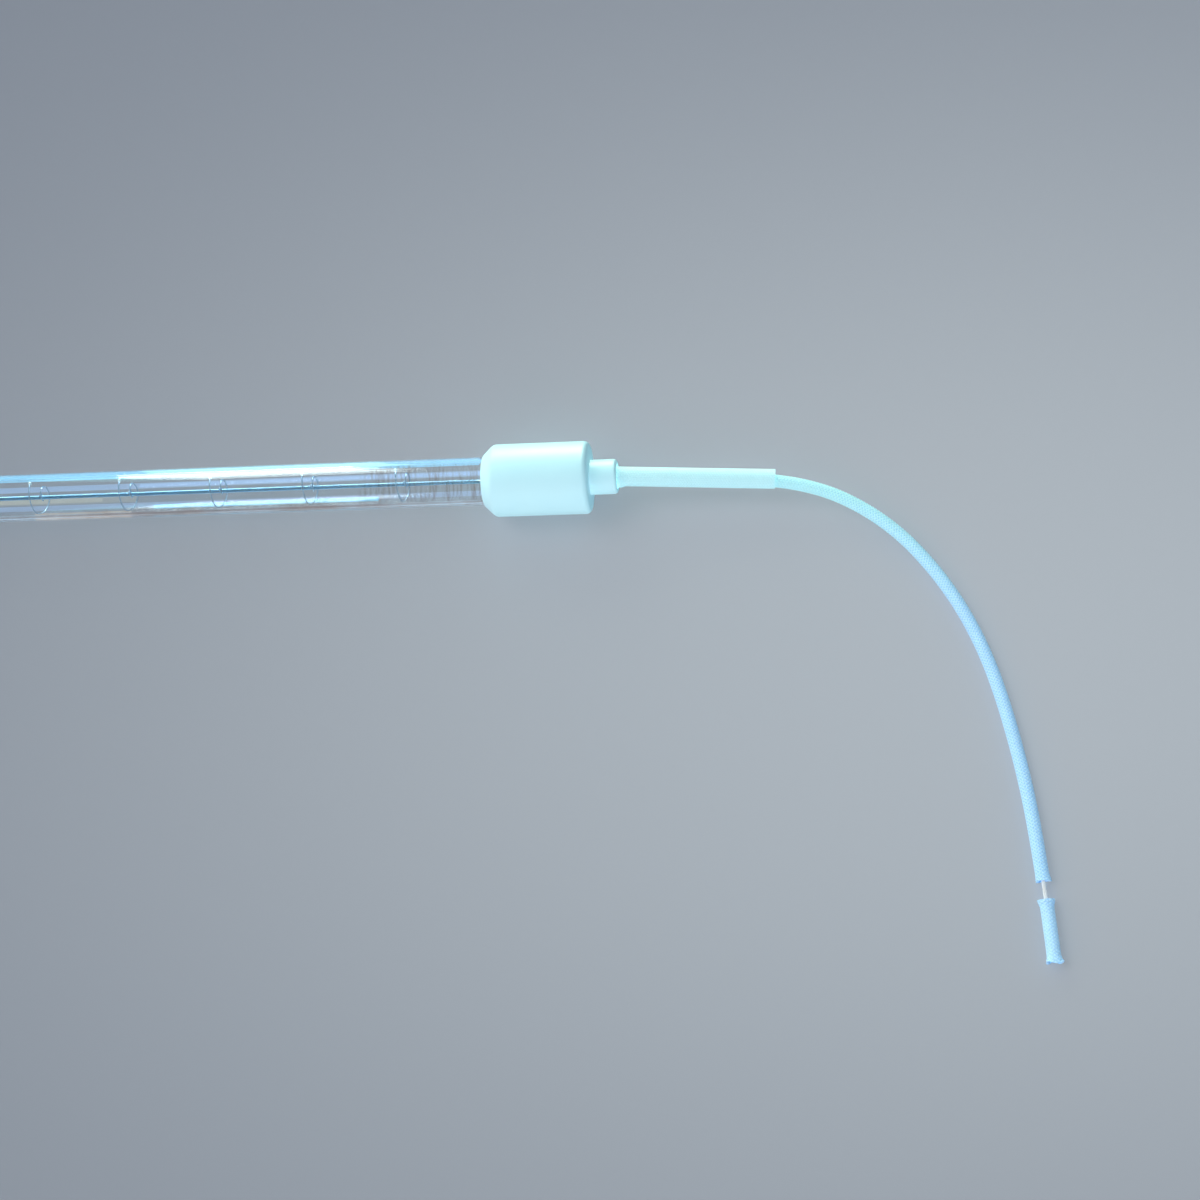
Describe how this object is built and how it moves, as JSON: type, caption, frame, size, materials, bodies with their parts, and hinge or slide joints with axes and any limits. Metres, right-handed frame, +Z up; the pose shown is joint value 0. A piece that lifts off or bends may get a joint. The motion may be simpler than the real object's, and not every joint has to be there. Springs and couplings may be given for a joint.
{
  "type": "infrared heating tube",
  "caption": "Clear quartz heating tube with a wire-supported filament, stepped ceramic end caps and a sleeved, braided lead out of one end.",
  "frame": {"origin": "on the floor under the middle of the tube, the lead left out", "axes": "+X along the tube towards the end with the lead, -Y the way the lead curves, +Z up"},
  "size_m": [0.3153, 0.1053, 0.015],
  "materials": {
    "quartz": "clear fused quartz, fire polished",
    "tungsten": "drawn tungsten wire",
    "molybdenum": "drawn molybdenum",
    "ceramic": "unglazed white ceramic, smooth",
    "cement": "set cement, matt",
    "nickel": "nickel wire and ferrule",
    "braid": "braided glass fibre, varnished",
    "sleeve": "woven glass fibre sleeving"
  },
  "bodies": {
    "root": {"quartz_tube": "quartz", "filament": "tungsten", "filament_support_1": "tungsten", "filament_support_2": "tungsten", "filament_support_3": "tungsten", "filament_support_4": "tungsten", "filament_support_5": "tungsten", "filament_support_6": "tungsten", "filament_support_7": "tungsten", "filament_support_8": "tungsten", "inner_lead_right": "molybdenum", "inner_lead_left": "molybdenum", "seal_foil_right": "molybdenum", "seal_foil_left": "molybdenum", "outer_pin_right": "molybdenum", "outer_pin_left": "molybdenum", "ceramic_cap_right": "ceramic", "ceramic_cap_left": "ceramic", "cement_right": "cement", "cement_left": "cement", "crimp_right": "nickel", "conductor_root": "nickel", "conductor_tip": "nickel", "lead_braid": "braid", "tip_braid": "braid", "lead_sleeve": "sleeve"}
  },
  "joints": []
}
